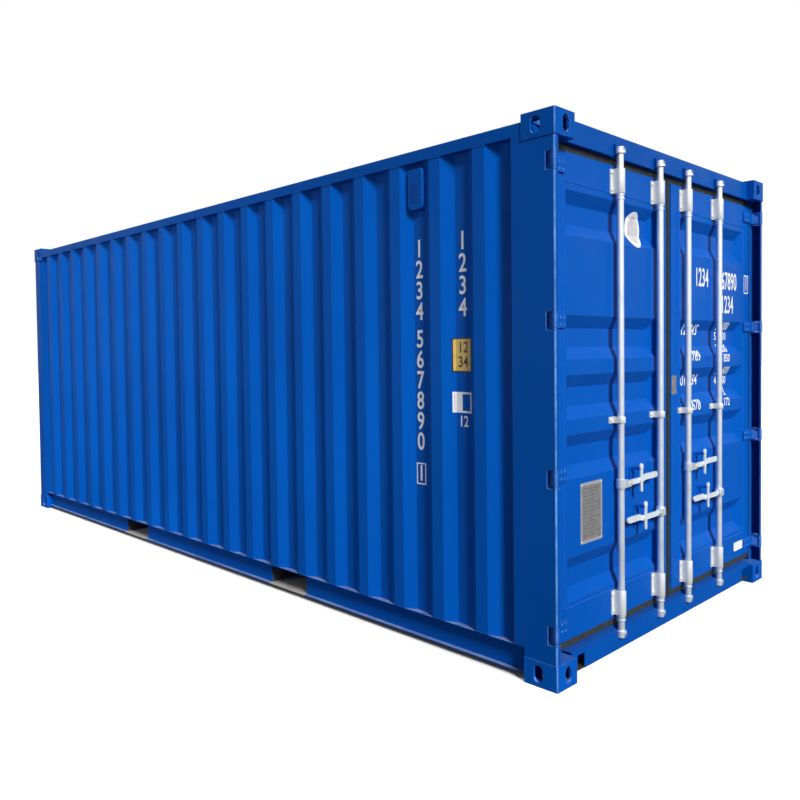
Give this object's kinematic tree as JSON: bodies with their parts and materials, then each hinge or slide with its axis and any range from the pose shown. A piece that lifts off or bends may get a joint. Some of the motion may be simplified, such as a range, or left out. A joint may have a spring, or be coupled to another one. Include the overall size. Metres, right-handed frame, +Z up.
{
  "type": "shipping container",
  "caption": "Steel freight container with corrugated walls, hinged end doors, lock rods with handles, corner castings and fork pockets",
  "frame": {"origin": "middle of the footprint at ground level, on the underside of the bottom corner castings", "axes": "X across the width, Y along the length with the doors facing -Y, Z up"},
  "size_m": [2.438, 6.058, 2.591],
  "materials": {
    "blue_paint": "semi-gloss paint, lightly weathered",
    "zinc_steel": "hot-dip galvanised",
    "seal_rubber": "matte",
    "floor_ply": "sealed plywood",
    "base_coat": "matte underbody coating"
  },
  "bodies": {
    "container": {"bottom_corner_castings": "blue_paint", "top_corner_castings": "blue_paint", "left_door_post": "blue_paint", "right_door_post": "blue_paint", "left_front_post": "blue_paint", "right_front_post": "blue_paint", "left_top_rail": "blue_paint", "right_top_rail": "blue_paint", "left_bottom_rail": "blue_paint", "right_bottom_rail": "blue_paint", "front_top_rail": "blue_paint", "front_sill": "blue_paint", "door_header": "blue_paint", "door_sill": "blue_paint", "cam_keepers": "blue_paint", "left_wall": "blue_paint", "right_wall": "blue_paint", "front_wall": "blue_paint", "roof": "blue_paint", "floor_boards": "floor_ply", "cross_members": "base_coat", "fork_pocket_tops": "blue_paint", "fork_pocket_webs": "base_coat", "fork_pocket_straps": "blue_paint", "left_hinge_lugs": "blue_paint", "right_hinge_lugs": "blue_paint", "ventilators": "blue_paint"},
    "left_door": {"left_door_stiles": "blue_paint", "left_door_rails": "blue_paint", "left_door_panel": "blue_paint", "left_door_seal": "seal_rubber", "left_door_hinges": "blue_paint", "left_rod_guides": "zinc_steel", "left_handle_catches": "zinc_steel"},
    "right_door": {"right_door_stiles": "blue_paint", "right_door_rails": "blue_paint", "right_door_panel": "blue_paint", "right_door_seal": "seal_rubber", "right_door_hinges": "blue_paint", "right_rod_guides": "zinc_steel", "right_handle_catches": "zinc_steel"},
    "lock_rod_1": {"lock_rod_1": "zinc_steel"},
    "handle_1": {"handle_1": "zinc_steel"},
    "lock_rod_2": {"lock_rod_2": "zinc_steel"},
    "handle_2": {"handle_2": "zinc_steel"},
    "lock_rod_3": {"lock_rod_3": "zinc_steel"},
    "handle_3": {"handle_3": "zinc_steel"},
    "lock_rod_4": {"lock_rod_4": "zinc_steel"},
    "handle_4": {"handle_4": "zinc_steel"}
  },
  "joints": [
    {"name": "left_door_hinge", "type": "hinge", "parent": "container", "child": "left_door", "pos_m": [-1.206, -3.016, 1.3055], "axis": [0, 0, -1], "range_deg": [0, 265]},
    {"name": "right_door_hinge", "type": "hinge", "parent": "container", "child": "right_door", "pos_m": [1.206, -3.016, 1.3055], "axis": [0, 0, 1], "range_deg": [0, 265]},
    {"name": "lock_rod_1_turn", "type": "hinge", "parent": "left_door", "child": "lock_rod_1", "pos_m": [-0.595, -2.999, 1.3055], "axis": [0, 0, 1], "range_deg": [-110, 0]},
    {"name": "lock_rod_2_turn", "type": "hinge", "parent": "left_door", "child": "lock_rod_2", "pos_m": [-0.17, -2.999, 1.3055], "axis": [0, 0, -1], "range_deg": [-110, 0]},
    {"name": "lock_rod_3_turn", "type": "hinge", "parent": "right_door", "child": "lock_rod_3", "pos_m": [0.17, -2.999, 1.3055], "axis": [0, 0, 1], "range_deg": [-110, 0]},
    {"name": "lock_rod_4_turn", "type": "hinge", "parent": "right_door", "child": "lock_rod_4", "pos_m": [0.595, -2.999, 1.3055], "axis": [0, 0, -1], "range_deg": [-110, 0]},
    {"name": "handle_1_lift", "type": "hinge", "parent": "lock_rod_1", "child": "handle_1", "pos_m": [-0.551, -3.015, 0.856], "axis": [0, -1, 0], "range_deg": [0, 8]},
    {"name": "handle_2_lift", "type": "hinge", "parent": "lock_rod_2", "child": "handle_2", "pos_m": [-0.214, -3.015, 0.655], "axis": [0, 1, 0], "range_deg": [0, 8]},
    {"name": "handle_3_lift", "type": "hinge", "parent": "lock_rod_3", "child": "handle_3", "pos_m": [0.214, -3.015, 0.856], "axis": [0, -1, 0], "range_deg": [0, 8]},
    {"name": "handle_4_lift", "type": "hinge", "parent": "lock_rod_4", "child": "handle_4", "pos_m": [0.551, -3.015, 0.655], "axis": [0, 1, 0], "range_deg": [0, 8]}
  ]
}
